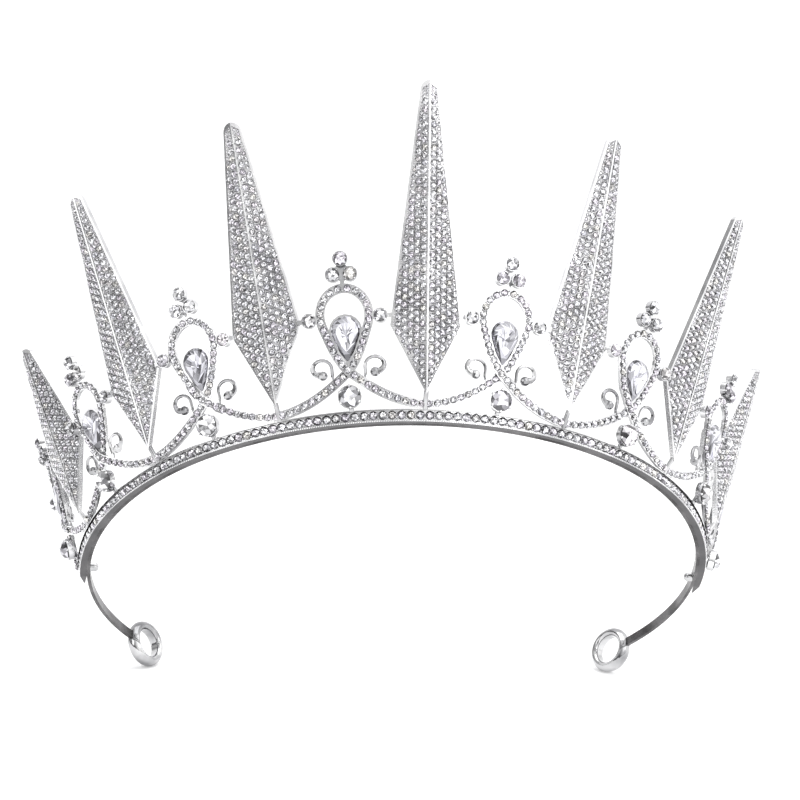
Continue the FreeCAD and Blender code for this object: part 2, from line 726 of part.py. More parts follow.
def build_ornament(number, groups):
    """Loop and swags with their stones, and the stones, settings and curls that go with them."""
    pitch = size("element_pitch")
    station = (2 * number - 9) * pitch
    last_side = math.copysign(1, station) if abs(station) > 6 * pitch else 0
    reaches = {}
    for side in (-1, 1):
        reaches[side] = pitch - size("swag_gap")
        if side == last_side:
            reaches[side] = size("casting_end") - abs(station) + size("tip_length") / 2
    frame = []
    stones = []
    for side, lifted in ((1, False), (-1, True)):
        path = strand_path(side, reaches[-side])
        points, acrosses, fronts = strand_frames(station, path, lifted)
        frame.append(ribbon(points, acrosses, fronts, strand_width, size("strand_depth")))
        stones += stones_along(station, path, lifted)
    add_feature("ornament_frame_%d" % number, frame[0].fuse(frame[1]))
    add_feature("ornament_stones_%d" % number, Part.makeCompound(stones))

    local = element_placement(station)
    matrix = local.toMatrix()
    facing = local.Rotation.multVec(V(0, -1, 0))
    pear_place = local.multiply(
        FreeCAD.Placement(V(0, -size("pear_proud"), size("pear_centre")), FreeCAD.Rotation()))
    add_feature("pear_crystal_%d" % number, pear_shape(), WORN.multiply(pear_place))
    groups["pear_settings"].append(pear_setting().transformGeometry(pear_place.toMatrix()))

    plate = Part.makeCylinder(size("backing_radius"), size("backing_thickness"))
    plate.Placement = local_frame(local.multVec(V(0, 0, size("trefoil_low") + size("backing_rise"))),
                                  facing * -1.0)
    tab = Part.makeBox(size("backing_tab_width"), size("backing_thickness"), size("backing_tab"),
                       V(-size("backing_tab_width") / 2, 0, size("trefoil_low") - size("backing_tab")))
    groups["trefoil_settings"].append(plate.fuse(tab.transformGeometry(matrix)))
    trefoil = [(-size("trefoil_spread"), size("trefoil_low")), (size("trefoil_spread"), size("trefoil_low")),
               (0.0, size("trefoil_high"))]
    links = [(side * size("link_spread"), size("link_height")) for side in (-1, 1)]
    for name, centres in (("trefoil", trefoil), ("link", links), ("round", [(0.0, size("round_height"))])):
        radius = size(name + "_radius") - size("setting_wall")
        for x, z in centres:
            seat = local.multVec(V(x, -size(name + "_proud"), z))
            groups[name + "_settings"].append(round_setting(seat, facing, radius))
            groups[name + "_stones"].append(round_stone(seat, facing, radius))
    for side in (-1, 1):
        path = curl_path(side)
        outer = size("bridge_outer")
        if side == last_side:
            path = [(x * size("end_curl_scale"), z) for x, z in path]
            outer = size("link_spread")
        groups["scroll_curls"].append(build_curl(station, path))
        groups["link_settings"].append(link_bridge(local, side, outer))


def build_ornaments():
    names = ("pear_settings", "trefoil_settings", "trefoil_stones", "link_settings", "link_stones",
             "round_settings", "round_stones", "scroll_curls")
    groups = {name: [] for name in names}
    for number in range(1, 9):
        build_ornament(number, groups)
    for name, solids in groups.items():
        add_feature(name, Part.makeCompound(solids))


# ---------------------------------------------------------------- build, check and write

build_headband()
build_ring_eye("ring_eye_left", -size("ring_station"))
build_ring_eye("ring_eye_right", size("ring_station"))
add_group("end_rivets", [end_rivet("left_rivet", -size("rivet_station")),
                         end_rivet("right_rivet", size("rivet_station"))])
build_front_castings()
build_solder_fillets()
build_spires()
build_ornaments()
doc.recompute()

failed = [item.Label for item in doc.Objects if "Invalid" in item.State or "Error" in item.State]
failed += [item.Label for item in SUBPARTS if item.Shape.isNull() or not item.Shape.isValid()]
if failed:
    raise RuntimeError("failed objects: " + ", ".join(sorted(set(failed))))

os.makedirs("parts", exist_ok=True)
for item in SUBPARTS:
    print(item.Label, len(item.Shape.Solids), round(item.Shape.Volume, 2))
    item.Shape.exportStep("parts/%s.step" % item.Label)
print("parts", len(SUBPARTS))
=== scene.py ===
import json
import math
import random

import bpy
import numpy as np
from mathutils import Matrix, Vector


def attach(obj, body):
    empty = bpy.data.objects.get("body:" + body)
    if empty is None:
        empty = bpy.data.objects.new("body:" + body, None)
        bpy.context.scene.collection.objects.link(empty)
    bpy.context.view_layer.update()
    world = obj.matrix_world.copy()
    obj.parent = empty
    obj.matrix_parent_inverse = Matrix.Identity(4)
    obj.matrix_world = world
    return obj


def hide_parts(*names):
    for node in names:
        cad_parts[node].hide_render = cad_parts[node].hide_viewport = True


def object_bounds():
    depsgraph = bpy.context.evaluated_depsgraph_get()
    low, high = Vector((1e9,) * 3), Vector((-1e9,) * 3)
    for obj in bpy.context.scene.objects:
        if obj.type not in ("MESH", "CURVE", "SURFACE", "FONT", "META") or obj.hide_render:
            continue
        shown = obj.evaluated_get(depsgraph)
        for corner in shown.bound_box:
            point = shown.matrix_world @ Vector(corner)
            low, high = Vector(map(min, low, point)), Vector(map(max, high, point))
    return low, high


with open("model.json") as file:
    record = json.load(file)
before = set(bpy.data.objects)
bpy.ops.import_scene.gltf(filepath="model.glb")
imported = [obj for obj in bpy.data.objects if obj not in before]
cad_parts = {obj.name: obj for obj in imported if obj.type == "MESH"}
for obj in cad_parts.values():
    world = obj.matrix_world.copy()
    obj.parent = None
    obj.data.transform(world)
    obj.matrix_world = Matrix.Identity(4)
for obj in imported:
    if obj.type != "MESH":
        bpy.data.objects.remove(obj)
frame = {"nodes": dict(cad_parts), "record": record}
cad_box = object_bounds()

MM = 0.001
NODES = frame["nodes"]
RECORD = frame["record"]
HEAD_MOUNT = [mount for mount in RECORD["mounts"] if mount["name"] == "head_opening"][0]
BAND_UP = Vector(HEAD_MOUNT["axis"]).normalized()  # normal of the band's plane
SLOT_OF = {item["node"]: item["material_slot"] for item in RECORD["subparts"]}

# camera: where it stands, and how it is turned, in the tiara's own frame
CAMERA_PLACE = Vector((-58.0, -571.2, 133.5)) * MM
CAMERA_YAW = math.radians(-5.84)
CAMERA_DROP = math.radians(8.04)
CAMERA_ROLL = math.radians(2.23)
CAMERA_LENS = 101.5
CAMERA_SENSOR = 36.0
CAMERA_CLIP = 0.01

SPIRES = range(1, 8)
CASTINGS = range(1, 5)
ORNAMENTS = range(1, 9)

TINY = 1e-18  # keeps the normal of an empty triangle from dividing by zero
SAME_WAY = 0.999  # cosine from which two directions count as one
AXIS_ERROR = 0.01
MERGE_ERROR = 0.002 * MM
FLOOR_ERROR = 0.02 * MM
GIRDLE_ERROR = 0.05 * MM

rng = random.Random(7)


# ---------------------------------------------------------------- materials

WHITE = (1.0, 1.0, 1.0)
# painted shade for the faces that look in towards the head
BACK_SHADE_TONE = (0.34, 0.34, 0.345)
# painted shade for the faces that look down out of the band's plane
UNDERSIDE_SHADE_TONE = (0.13, 0.127, 0.13)
TONE_PATCHES = 120.0
RELIEF_DEPTH = 0.05 * MM


def new_material(name):
    mat = bpy.data.materials.new(name)
    mat.use_nodes = True
    return mat, mat.node_tree.nodes["Principled BSDF"]


def noise_node(nodes, links, scale, detail):
    coords = nodes.new("ShaderNodeTexCoord")
    noise = nodes.new("ShaderNodeTexNoise")
    noise.inputs["Scale"].default_value = scale
    noise.inputs["Detail"].default_value = detail
    links.new(coords.outputs["Object"], noise.inputs["Vector"])
    return noise


def ramp_node(nodes, stops):
    ramp = nodes.new("ShaderNodeValToRGB")
    elements = ramp.color_ramp.elements
    for index, (place, colour) in enumerate(stops):
        element = elements[index] if index < 2 else elements.new(place)
        element.position = place
        element.color = (*colour, 1.0)
    return ramp


def metal(name, dark, light, rough_low, rough_high, grain, bump):
    """Plated cast metal: slow tone variation, patchy polish and a fine cast grain."""
    mat, shader = new_material(name)
    nodes, links = mat.node_tree.nodes, mat.node_tree.links
    shader.inputs["Metallic"].default_value = 1.0
    tone = noise_node(nodes, links, TONE_PATCHES, 3.0)
    ramp = ramp_node(nodes, [(0.35, dark), (0.65, light)])
    links.new(tone.outputs["Fac"], ramp.inputs["Fac"])
    links.new(ramp.outputs["Color"], shader.inputs["Base Color"])
    polish = nodes.new("ShaderNodeMapRange")
    polish.inputs["To Min"].default_value = rough_low
    polish.inputs["To Max"].default_value = rough_high
    fine = noise_node(nodes, links, grain, 2.0)
    links.new(fine.outputs["Fac"], polish.inputs["Value"])
    links.new(polish.outputs["Result"], shader.inputs["Roughness"])
    relief = nodes.new("ShaderNodeBump")
    relief.inputs["Strength"].default_value = bump
    relief.inputs["Distance"].default_value = RELIEF_DEPTH
    links.new(fine.outputs["Fac"], relief.inputs["Height"])
    links.new(relief.outputs["Normal"], shader.inputs["Normal"])
    return mat


def vector_node(nodes, operation):
    node = nodes.new("ShaderNodeVectorMath")
    node.operation = operation
    return node


def product_node(nodes, links, first, second):
    """Product of the colours of two sockets."""
    mix = nodes.new("ShaderNodeMix")
    mix.data_type = "RGBA"
    mix.blend_type = "MULTIPLY"
    mix.inputs["Factor"].default_value = 1.0
    links.new(first, mix.inputs["A"])
    links.new(second, mix.inputs["B"])
    return mix


def multiply_colour(mat, factor):
    """Multiplies a material's base colour by the colour of a socket."""
    nodes, links = mat.node_tree.nodes, mat.node_tree.links
    base = nodes["Principled BSDF"].inputs["Base Color"]
    mix = product_node(nodes, links, base.links[0].from_socket, factor)
    links.new(mix.outputs["Result"], base)


def paint_back_shade(mat):
    """Darkens the faces that look in towards the head: painted shade, standing in for the dark reflections
    on the inner side.
    """
    nodes, links = mat.node_tree.nodes, mat.node_tree.links
    coords = nodes.new("ShaderNodeTexCoord")
    outward = vector_node(nodes, "MULTIPLY_ADD")  # place less its height over the band's plane
    height = vector_node(nodes, "DOT_PRODUCT")
    height.inputs[1].default_value = -BAND_UP
    links.new(coords.outputs["Object"], height.inputs[0])
    links.new(height.outputs["Value"], outward.inputs[0])
    outward.inputs[1].default_value = BAND_UP
    links.new(coords.outputs["Object"], outward.inputs[2])
    unit = vector_node(nodes, "NORMALIZE")
    links.new(outward.outputs["Vector"], unit.inputs[0])
    facing = vector_node(nodes, "DOT_PRODUCT")
    links.new(unit.outputs["Vector"], facing.inputs[0])
    links.new(coords.outputs["Normal"], facing.inputs[1])
    share = nodes.new("ShaderNodeMapRange")
    share.inputs["From Min"].default_value = -1.0
    links.new(facing.outputs["Value"], share.inputs["Value"])
    shade_ramp = ramp_node(nodes, [(0.3, BACK_SHADE_TONE), (0.42, WHITE)])
    links.new(share.outputs["Result"], shade_ramp.inputs["Fac"])
    multiply_colour(mat, shade_ramp.outputs["Color"])


def paint_underside_shade(mat):
    """Darkens the faces that look down out of the band's plane: painted shade under the casting."""
    nodes, links = mat.node_tree.nodes, mat.node_tree.links
    coords = nodes.new("ShaderNodeTexCoord")
    facing = vector_node(nodes, "DOT_PRODUCT")
    facing.inputs[1].default_value = -BAND_UP
    links.new(coords.outputs["Normal"], facing.inputs[0])
    shade_ramp = ramp_node(nodes, [(0.5, WHITE), (0.62, UNDERSIDE_SHADE_TONE)])
    links.new(facing.outputs["Value"], shade_ramp.inputs["Fac"])
    multiply_colour(mat, shade_ramp.outputs["Color"])


def crystal(name, tints, rough):
    """Foil-backed crystal: each facet has a painted reflection tone, from bright painted highlight to dark,
    and each stone a slight tint.
    """
    mat, shader = new_material(name)
    nodes, links = mat.node_tree.nodes, mat.node_tree.links
    shader.inputs["Metallic"].default_value = 0.85
    shader.inputs["Roughness"].default_value = rough
    shader.inputs["Coat Weight"].default_value = 0.6
    shader.inputs["Coat Roughness"].default_value = 0.02
    facet = nodes.new("ShaderNodeVertexColor")
    facet.layer_name = "facet"
    island = nodes.new("ShaderNodeNewGeometry")
    ramp = ramp_node(nodes, tints)
    links.new(island.outputs["Random Per Island"], ramp.inputs["Fac"])
    mix = product_node(nodes, links, facet.outputs["Color"], ramp.outputs["Color"])
    links.new(mix.outputs["Result"], shader.inputs["Base Color"])
    return mat


STONE_TINTS = [(0.0, WHITE), (0.5, (0.95, 0.95, 0.97)), (0.7, (0.93, 0.88, 0.95)),
               (0.86, (0.97, 0.95, 0.89)), (0.95, (0.8, 0.8, 0.84))]
PEAR_TINTS = [(0.0, (0.97, 0.97, 1.0)), (0.5, (0.92, 0.92, 0.97)), (1.0, (0.96, 0.94, 0.98))]
# dark and light tone, lowest and highest roughness, scale of the cast grain and strength of its relief
PLATED = ((0.6, 0.6, 0.612), (0.9, 0.9, 0.905), 0.1, 0.24, 2600.0, 0.25)
METALS = {
    "plated_alloy": PLATED,
    "front_casting": PLATED,
    "bright_rhodium": ((0.26, 0.26, 0.27), (0.62, 0.62, 0.626), 0.05, 0.14, 1800.0, 0.2),
    "headband_steel": ((0.05, 0.048, 0.049), (0.15, 0.147, 0.15), 0.18, 0.34, 1500.0, 0.2),
    "solder": ((0.4, 0.4, 0.42), (0.6, 0.6, 0.61), 0.3, 0.5, 2200.0, 0.6),
    # the darker tones of dark_recess are painted shade in the sunk fields between the stones
    "dark_recess": ((0.3, 0.298, 0.305), (0.85, 0.845, 0.855), 0.25, 0.45, 2600.0, 0.5),
}
MATERIALS = {name: metal(name, *values) for name, values in METALS.items()}
MATERIALS["rhinestone"] = crystal("rhinestone", STONE_TINTS, 0.04)
MATERIALS["pear_crystal"] = crystal("pear_crystal", PEAR_TINTS, 0.02)
# painted shade on the back faces of the plated metal and of the front castings
paint_back_shade(MATERIALS["plated_alloy"])
paint_back_shade(MATERIALS["front_casting"])
# painted shade on the undersides of the front castings
paint_underside_shade(MATERIALS["front_casting"])

# nodes that look different from the rest of their material slot
FINISH_OF = {"scroll_curls": "bright_rhodium", "solder_posts": "bright_rhodium"}
# the front castings' finish is the plated metal with painted underside shade
FINISH_OF.update({"front_casting_%d" % number: "front_casting" for number in CASTINGS})


# ---------------------------------------------------------------- reading the CAD stones

def mesh_arrays(node):
    """Merged vertices and triangles of a CAD node."""
    mesh = NODES[node].data
    mesh.calc_loop_triangles()
    points = np.empty(len(mesh.vertices) * 3)
    mesh.vertices.foreach_get("co", points)
    points = points.reshape(-1, 3)
    triangles = np.empty(len(mesh.loop_triangles) * 3, dtype=np.int64)
    mesh.loop_triangles.foreach_get("vertices", triangles)
    keys, index = np.unique(np.round(points / MERGE_ERROR).astype(np.int64), axis=0, return_inverse=True)
    merged = np.zeros((len(keys), 3))
    merged[index.ravel()] = points
    return merged, index.ravel()[triangles.reshape(-1, 3)]


def islands(points, triangles):
    """Triangles of each separate solid in a node."""
    label = np.arange(len(points))
    while True:
        lowest = label[triangles].min(axis=1)
        fresh = label.copy()
        for corner in range(3):
            np.minimum.at(fresh, triangles[:, corner], lowest)
        if np.array_equal(fresh, label):
            break
        label = fresh
    owner = label[triangles[:, 0]]
    order = np.argsort(owner, kind="stable")
    cuts = np.flatnonzero(np.diff(owner[order])) + 1
    return [triangles[part] for part in np.split(order, cuts)]


def triangle_normals(points, triangles):
    """Corners, unit normal and area of each triangle."""
    corners = points[triangles]
    cross = np.cross(corners[:, 1] - corners[:, 0], corners[:, 2] - corners[:, 0])
    length = np.linalg.norm(cross, axis=1)
    return corners, cross / np.maximum(length, TINY)[:, None], length / 2


def largest_flat(points, triangles):
    """Outward normal, centre and area of the largest flat face of a solid."""
    corners, normal, area = triangle_normals(points, triangles)
    groups = {}
    for index, key in enumerate(map(tuple, np.round(normal, 2))):
        groups.setdefault(key, []).append(index)
    best = max(groups.values(), key=lambda group: area[group].sum())
    weight = area[best][:, None]
    centre = (corners[best].mean(axis=1) * weight).sum(axis=0) / weight.sum()
    axis = (normal[best] * weight).sum(axis=0)
    return Vector(axis).normalized(), Vector(centre), float(weight.sum())


def seats(node):
    """Seat centre, outward axis and radius of every stone of a node."""
    points, triangles = mesh_arrays(node)
    found = []
    for solid in islands(points, triangles):
        normal, centre, area = largest_flat(points, solid)
        found.append((centre, -normal, math.sqrt(area / math.pi)))
    return found


# ---------------------------------------------------------------- piece building

BLUE_LEAN = 1.03  # facet tones lean slightly to blue
STAR_RISE = 0.62  # height of the star points as a share of the crown
SKIRT_FOOT = 0.9  # radius of a stone where it meets its seat, as a share of its girdle


class Pile:
    """Collects faces of many small solids for one mesh."""

    def __init__(self):
        self.points = []
        self.faces = []
        self.tones = []

    def add(self, points, faces, tones=None):
        start = len(self.points)
        self.points.extend(points)
        self.faces.extend([tuple(start + corner for corner in face) for face in faces])
        self.tones.extend(tones or [1.0] * len(faces))

    def piece(self, name, slot, smooth=False, finish=None):
        mesh = bpy.data.meshes.new(name)
        mesh.from_pydata(self.points, [], self.faces)
        mesh.materials.append(MATERIALS[finish or slot])
        # the facet attribute holds each face's tone: on the stones, painted reflection and shade
        colours = mesh.color_attributes.new("facet", "FLOAT_COLOR", "CORNER")
        values = []
        for face, tone in zip(self.faces, self.tones):
            values.extend((tone, tone, min(1.0, tone * BLUE_LEAN), 1.0) * len(face))
        colours.data.foreach_set("color", values)
        mesh.polygons.foreach_set("use_smooth", [smooth] * len(self.faces))
        obj = bpy.data.objects.new(name, mesh)
        bpy.context.collection.objects.link(obj)
        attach(obj, "root")
        return obj


def basis(axis, up):
    """Side, up and axis directions, all square to each other."""
    side = up.cross(axis).normalized()
    return side, axis.cross(side).normalized(), axis


def placed(points, centre, axes, scale):
    """Unit points moved to a centre, turned to side, up and axis directions, and scaled."""
    side, up, axis = axes
    return [centre + (side * x + up * y + axis * z) * scale for x, y, z in points]


def brilliant(sides, table, lift, rise, sink):
    """Unit stone: a skirt up to the girdle in painted shade, girdle, kite and star facets, and a sunk star
    table.
    """
    points = []
    for count, radius, height, shift in ((sides, table, lift + rise, 0.0),
                                         (sides, (1 + table) / 2, lift + rise * STAR_RISE, 0.5),
                                         (2 * sides, 1.0, lift, 0.0), (2 * sides, SKIRT_FOOT, 0.0, 0.0)):
        for index in range(count):
            angle = 2 * math.pi * (index + shift) / count
            points.append((radius * math.cos(angle), radius * math.sin(angle), height))
    points.append((0.0, 0.0, lift + rise - sink))
    middle = len(points) - 1
    faces = []
    kinds = []
    for index in range(sides):
        after = (index + 1) % sides
        before = (index - 1) % sides
        star = sides + index
        girdle = 2 * sides + 2 * index
        girdle_after = 2 * sides + (2 * index + 2) % (2 * sides)
        faces += [(index, after, middle), (index, star, after), (index, sides + before, girdle, star),
                  (star, girdle, girdle + 1), (star, girdle + 1, girdle_after)]
        kinds += ["table", "star", "kite", "girdle", "girdle"]
    for index in range(2 * sides):
        after = (index + 1) % (2 * sides)
        faces.append((2 * sides + index, 4 * sides + index, 4 * sides + after, 2 * sides + after))
        kinds.append("skirt")
    faces.append(tuple(reversed(range(4 * sides, 6 * sides))))
    kinds.append("skirt")
    return points, faces, kinds


# painted reflection tones that a facet of each kind may take: bright tables are painted highlights, the
# other facets painted reflections, the skirt painted shade
PAINTED_FACET_TONES = {
    "table": (1.0, 1.0, 0.75, 0.5, 0.3),
    "star": (1.0, 0.62, 0.35, 0.18),
    "kite": (0.85, 0.5, 0.28, 0.12),
    "girdle": (0.7, 0.4, 0.2, 0.1),
    # the skirt's dark tone is painted shade in the gaps between the stones
    "skirt": (0.14,),
}


def tones_for(kinds):
    return [rng.choice(PAINTED_FACET_TONES[kind]) for kind in kinds]


# sides, radius of the table, height of the girdle over the seat, crown height and depth of the star
PAVE_STONE = brilliant(8, 0.5, 0.25, 0.44, 0.1)
LARGE_STONE = brilliant(8, 0.5, 0.12, 0.5, 0.18)


def add_stone(pile, seat, stone, scale=1.0):
    """A faceted stone on its seat, turned at random about its axis."""
    centre, axis, radius = seat
    points, faces, kinds = stone
    up = BAND_UP if abs(axis.dot(BAND_UP)) < 0.9 else Vector((1, 0, 0))
    side, top, axis = basis(axis, up)
    turn = Matrix.Rotation(rng.uniform(0, math.pi / 4), 3, axis)
    axes = (turn @ side, turn @ top, axis)
    pile.add(placed(points, centre, axes, radius * scale), faces, tones_for(kinds))


def dome(rings, around):
    """Unit hemisphere on a flat base."""
    points = [(0.0, 0.0, 1.0)]
    faces = []
    for ring in range(1, rings + 1):
        tilt = math.pi / 2 * ring / rings
        for index in range(around):
            angle = 2 * math.pi * index / around
            points.append((math.sin(tilt) * math.cos(angle), math.sin(tilt) * math.sin(angle),
                           math.cos(tilt)))
    for index in range(around):
        after = (index + 1) % around
        faces.append((0, 1 + index, 1 + after))
        for ring in range(rings - 1):
            low = 1 + ring * around
            faces.append((low + index, low + around + index, low + around + after, low + after))
    last = 1 + (rings - 1) * around
    faces.append(tuple(last + index for index in reversed(range(around))))
    return points, faces


BEAD = dome(2, 6)


def add_bead(pile, centre, axis, up, radius, height=1.0):
    """A rounded bead; its height is a multiple of its radius."""
    side, top, axis = basis(axis, up)
    points = [(x, y, z * height) for x, y, z in BEAD[0]]
    pile.add(placed(points, centre, (side, top, axis), radius), BEAD[1])


def is_new(place, taken, spacing):
    """Whether no earlier place fell in the same cell of a grid of this spacing."""
    key = tuple(round(value / spacing) for value in place)
    if key in taken:
        return False
    taken.add(key)
    return True


# ---------------------------------------------------------------- spires

RECESS_DEPTH = 0.03 * MM
PAVE_PITCH = 1.8 * MM
PAVE_COLUMN = 1.36 * MM
SMALL_STONE = 0.5 * MM  # stones below this radius get no corner beads
BEAD_RADIUS = 0.2 * MM
BEAD_HEIGHT = 2.4
BEAD_SPACING = 0.35 * MM
# the corners round a stone, as shares of the column width and of the pitch
BEAD_CORNERS = ((1 / 3, 0.5), (-1 / 3, 0.5), (1 / 3, -0.5), (-1 / 3, -0.5), (2 / 3, 0.0), (-2 / 3, 0.0))
RIM_BEAD_RADIUS = 0.24 * MM
RIM_BEAD_HEIGHT = 1.6
RIM_BEAD_SPACING = 0.3 * MM
RIM_BEAD_PITCH = 0.62 * MM
RIM_BEAD_OFFSETS = (0.28 * MM, 0.78 * MM)
RIM_BEAD_INSIDE = RIM_BEAD_RADIUS * 0.8
RIM_BEAD_CLEAR = RIM_BEAD_RADIUS * 0.7
FILLER_RADIUS = 0.46 * MM
FILLER_STEP = 0.22 * MM
FILLER_OFFSETS = (0.52 * MM, 1.3 * MM, 2.1 * MM)
FILLER_INSIDE = FILLER_RADIUS * 0.9
FILLER_CLEAR = FILLER_RADIUS * 0.94


def build_recess(number, stones):
    """Painted shade in the sunk fields of a spire: a thin, darker skin over the casting between the stones.

    Returns the outline of the fields: for each edge the field's axis, the edge's ends and the way in.
    """
    points, triangles = mesh_arrays("spire_%d" % number)
    corners, normal, _ = triangle_normals(points, triangles)
    skin = Pile()
    rim = []
    for axis in sorted({tuple(round(value, 3) for value in seat[1]) for seat in stones}):
        centre, exact = [seat[:2] for seat in stones if (seat[1] - Vector(axis)).length < AXIS_ERROR][0]
        away = np.abs((corners - np.array(centre)) @ np.array(exact)).max(axis=1)
        floor = (normal @ np.array(exact) > SAME_WAY) & (away < FLOOR_ERROR)
        picked = triangles[floor]
        rim += [(exact, edge) for edge in rim_edges(picked, points)]
        used = sorted({int(corner) for corner in picked.ravel()})
        place = {corner: index for index, corner in enumerate(used)}
        count = len(used)
        low = [Vector(points[corner]) for corner in used]
        top = [point + exact * RECESS_DEPTH for point in low]
        faces = []
        edges = set()
        for a, b, c in picked:
            a, b, c = place[int(a)], place[int(b)], place[int(c)]
            faces += [(count + a, count + b, count + c), (c, b, a)]
            edges |= {(a, b), (b, c), (c, a)}
        faces += [(a, b, count + b, count + a) for a, b in sorted(edges) if (b, a) not in edges]
        skin.add(low + top, faces)
    # the skin's darker tone is painted shade between the stones
    skin.piece("spire_recess_%d" % number, "plated_alloy", finish="dark_recess")
    return rim


def rim_edges(picked, points):
    """Outline edges of a sunk field: start, end and the way in."""
    edges = {}
    for triangle in picked:
        for index in range(3):
            a, b, c = (int(triangle[(index + step) % 3]) for step in range(3))
            edges[(a, b)] = c
    found = []
    for (a, b), c in sorted(edges.items()):
        if (b, a) not in edges:
            start, end = Vector(points[a]), Vector(points[b])
            along = (end - start).normalized()
            inward = Vector(points[c]) - start
            found.append((start, end, (inward - along * inward.dot(along)).normalized()))
    return found


def depth_inside(place, axis, rim):
    """Distance of a place from the nearest outline edge of its field; negative outside."""
    own = [edge for other, edge in rim if other.dot(axis) > SAME_WAY]
    return min((place - start).dot(inward) for start, _, inward in own)


def clearance(place, stones):
    """Distance of a place from the nearest girdle."""
    return min((place - seat[0]).length - seat[2] for seat in stones)


def filler_seats(rim, stones):
    """Seats of small stones that fill what the columns leave free along the rim of a field."""
    found = []
    for axis, (start, end, inward) in rim:
        along = end - start
        near = [seat for seat in stones + found if seat[1].dot(axis) > SAME_WAY]
        for offset in FILLER_OFFSETS:
            steps = int((along.length - 2 * offset) / FILLER_STEP)
            for step in range(max(steps, 0)):
                reach = offset + FILLER_STEP * (step + 0.5)
                place = start + along.normalized() * reach + inward * offset
                if clearance(place, near) > FILLER_CLEAR and depth_inside(place, axis, rim) > FILLER_INSIDE:
                    near.append((place, axis, FILLER_RADIUS))
                    found.append(near[-1])
    return found


def add_rim_beads(beads, rim, stones, taken, up):
    """Two rows of beads along the rim of the fields, where the stones leave room."""
    for axis, (start, end, inward) in rim:
        along = end - start
        steps = int(along.length / RIM_BEAD_PITCH)
        for row, offset in enumerate(RIM_BEAD_OFFSETS):
            for step in range(steps):
                place = start + along * ((step + 0.5 + 0.5 * row) / max(steps, 1)) + inward * offset
                inside = depth_inside(place, axis, rim) > RIM_BEAD_INSIDE
                clear = clearance(place, stones) > RIM_BEAD_CLEAR
                if inside and clear and is_new(place, taken, RIM_BEAD_SPACING):
                    add_bead(beads, place, axis, up, RIM_BEAD_RADIUS, RIM_BEAD_HEIGHT)


def build_spire_field(number):
    """Pave stones of one spire, with small ones along the rim and cast beads between them all."""
    node = "spire_stones_%d" % number
    stones = seats(node)
    centres = np.array([seat[0] for seat in stones])
    spread = centres - centres.mean(axis=0)
    up = Vector(np.linalg.svd(spread, full_matrices=False)[2][0])
    if up.z < 0:
        up = -up
    field = Pile()
    beads = Pile()
    taken = set()
    for seat in stones:
        centre, axis, radius = seat
        add_stone(field, seat, PAVE_STONE)
        if radius < SMALL_STONE:
            continue
        side, top, axis = basis(axis, up)
        for across, along in BEAD_CORNERS:
            place = centre + side * (across * PAVE_COLUMN) + top * (along * PAVE_PITCH)
            if is_new(place, taken, BEAD_SPACING):
                add_bead(beads, place, axis, up, BEAD_RADIUS, BEAD_HEIGHT)
    rim = build_recess(number, stones)
    fillers = filler_seats(rim, stones)
    for seat in fillers:
        add_stone(field, seat, PAVE_STONE)
    add_rim_beads(beads, rim, stones + fillers, taken, up)
    piece = field.piece("pave_stones_%d" % number, "rhinestone")
    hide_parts(node)
    beads.piece("pave_beads_%d" % number, "plated_alloy", smooth=True)


# ---------------------------------------------------------------- rows of stones

ROW_STONE_SCALE = 1.02
JOINT_BEAD_REACH = 0.62  # from the row's line, as a share of the stone's radius
JOINT_BEAD_HEIGHT = 1.9
BAND_BEAD_RADIUS = 0.3 * MM
STRAND_BEAD_RADIUS = 0.24 * MM
BAND_NEIGHBOURS = 2.6 * MM  # stones of one row that are no farther apart than this are neighbours
STRAND_NEIGHBOURS = 2.3 * MM
LEDGE_DROP = 1.37 * MM  # from a band stone's seat down to the middle of the ledge's front edge
LEDGE_REACH = 0.86 * MM
GRAIN_PITCH = 0.54 * MM
GRAIN_RADIUS = 0.24 * MM
GRAIN_STEPS = (-1.5, -0.5, 0.5, 1.5)  # the grains under one stone, in pitches from its middle


def build_row(node, stones_name, beads_name, bead_radius, spacing):
    """A row of stones with a pair of beads at each joint between neighbours."""
    stones = seats(node)
    row = Pile()
    beads = Pile()
    for seat in stones:
        add_stone(row, seat, PAVE_STONE, ROW_STONE_SCALE)
    for index, (centre, axis, radius) in enumerate(stones):
        for other in [seat[0] for seat in stones[index + 1:]]:
            gap = other - centre
            if gap.length > spacing:
                continue
            middle = (centre + other) / 2
            across = axis.cross(gap).normalized()
            for sign in (-1, 1):
                place = middle + across * (sign * radius * JOINT_BEAD_REACH)
                add_bead(beads, place, axis, across, bead_radius, JOINT_BEAD_HEIGHT)
    piece = row.piece(stones_name, "rhinestone")
    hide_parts(node)
    beads.piece(beads_name, "plated_alloy", smooth=True)
    return stones


def build_milgrain(number, stones):
    """Line of tiny beads along the ledge under a row of band stones."""
    grains = Pile()
    for centre, axis in [seat[:2] for seat in stones]:
        side, lean, axis = basis(axis, BAND_UP)
        for step in GRAIN_STEPS:
            place = centre + axis * LEDGE_REACH - lean * LEDGE_DROP + side * (step * GRAIN_PITCH)
            add_bead(grains, place, axis, lean, GRAIN_RADIUS)
    grains.piece("milgrain_%d" % number, "plated_alloy", smooth=True)


# ---------------------------------------------------------------- large stones and prongs

PRONG_DROP = 0.1 * MM
PRONG_LEAN = 0.35  # how far a claw leans in over its stone, as the slope of its axis
PRONG_HEIGHT = 1.7


